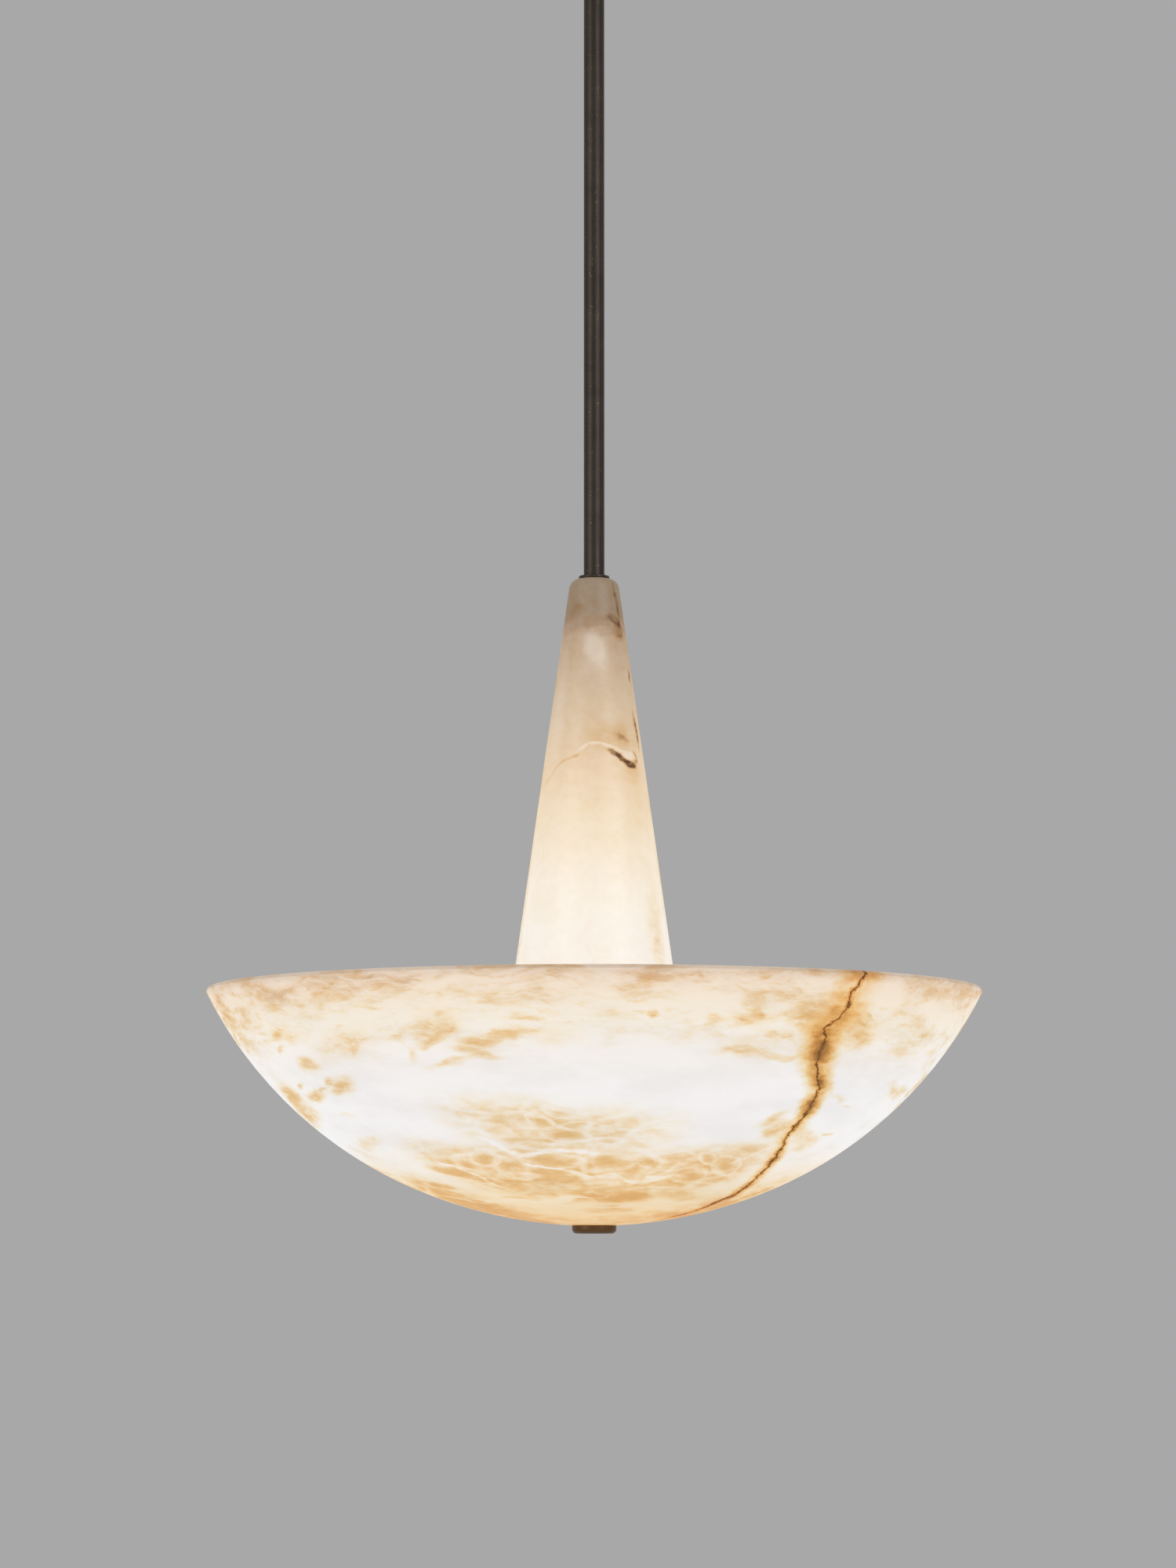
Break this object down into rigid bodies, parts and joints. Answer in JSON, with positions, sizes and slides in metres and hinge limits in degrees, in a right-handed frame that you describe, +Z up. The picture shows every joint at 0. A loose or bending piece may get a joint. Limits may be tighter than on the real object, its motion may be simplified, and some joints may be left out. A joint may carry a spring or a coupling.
{
  "type": "pendant light",
  "caption": "Uplit alabaster bowl pendant: a turned stone bowl and a hollow tapering stone column on a dark bronze stem, with ceiling swivel, sliding canopy and lamps inside.",
  "frame": {"origin": "middle of the ceiling bracket's top face, in the plane of the ceiling", "axes": "+Z up out of the ceiling, X along the bracket and its two slots, -Y towards the side that the picture shows"},
  "size_m": [0.4998, 0.4998, 0.9441],
  "materials": {
    "bowl_alabaster": "honed and waxed, lit from inside",
    "column_alabaster": "honed and waxed, lit from inside",
    "dark_bronze": "dark bronze patina, waxed",
    "zinc_steel": "zinc plated",
    "cast_brass": "as cast, turned",
    "silicone": "matt",
    "brown_pvc": "satin",
    "blue_pvc": "satin",
    "green_yellow_pvc": "satin, green with a yellow stripe",
    "terminal_plastic": "moulded",
    "terminal_ceramic": "glazed steatite",
    "holder_plastic": "moulded",
    "lamp_cap_metal": "rolled",
    "opal_glass": "opal, lit"
  },
  "bodies": {
    "root": {"ceiling_bracket": "zinc_steel", "earth_screw": "zinc_steel", "upper_yoke": "zinc_steel", "upper_pivot_pin": "zinc_steel"},
    "swivel": {"swivel_block": "zinc_steel"},
    "pendant": {"lower_pivot_pin": "zinc_steel", "lower_yoke": "dark_bronze", "stem": "dark_bronze", "wire_brown": "brown_pvc", "wire_blue": "blue_pvc", "wire_earth": "green_yellow_pvc", "connector_block": "terminal_plastic", "stem_collar": "dark_bronze", "column": "column_alabaster", "column_gasket": "silicone", "column_spider": "zinc_steel", "tie_tube": "zinc_steel", "spider_nut": "zinc_steel", "cluster_top_nut": "zinc_steel", "cluster_bottom_nut": "zinc_steel", "bowl_stop_nut": "zinc_steel", "lamp_cluster": "cast_brass", "cluster_lid": "cast_brass", "cluster_terminal": "terminal_ceramic", "lampholder_1": "holder_plastic", "lampholder_2": "holder_plastic", "lampholder_3": "holder_plastic", "lampholder_4": "holder_plastic", "lamp_cap_1": "lamp_cap_metal", "lamp_cap_2": "lamp_cap_metal", "lamp_cap_3": "lamp_cap_metal", "lamp_cap_4": "lamp_cap_metal", "lamp_globe_1": "opal_glass", "lamp_globe_2": "opal_glass", "lamp_globe_3": "opal_glass", "lamp_globe_4": "opal_glass", "holder_nipples": "cast_brass", "holder_nuts": "zinc_steel", "lamp_leads": "brown_pvc", "bowl_stop_washer": "zinc_steel", "bowl_upper_gasket": "silicone"},
    "canopy": {"canopy": "dark_bronze", "canopy_collar": "dark_bronze", "canopy_grub_screw": "zinc_steel"},
    "bowl": {"bowl": "bowl_alabaster", "bowl_lower_gasket": "silicone"},
    "finial": {"finial": "dark_bronze"}
  },
  "joints": [
    {"name": "swing_front_back", "type": "hinge", "parent": "root", "child": "swivel", "pos_m": [0, 0, -0.014], "axis": [1, 0, 0], "range_deg": [-15, 15]},
    {"name": "swing_side", "type": "hinge", "parent": "swivel", "child": "pendant", "pos_m": [0, 0, -0.026], "axis": [0, 1, 0], "range_deg": [-15, 15]},
    {"name": "canopy_slide", "type": "slide", "parent": "pendant", "child": "canopy", "axis": [0, 0, -1], "range_m": [0, 0.443]},
    {"name": "bowl_lower", "type": "slide", "parent": "pendant", "child": "bowl", "axis": [0, 0, -1], "range_m": [0, 0.006]},
    {"name": "finial_turn", "type": "hinge", "parent": "bowl", "child": "finial", "pos_m": [0, 0, -0.9392], "axis": [0, 0, -1], "range_deg": [0, 2160]}
  ],
  "couplings": [
    {"joint": "finial_turn", "follows": "bowl_lower", "rad_per_m": 6283.2}
  ]
}
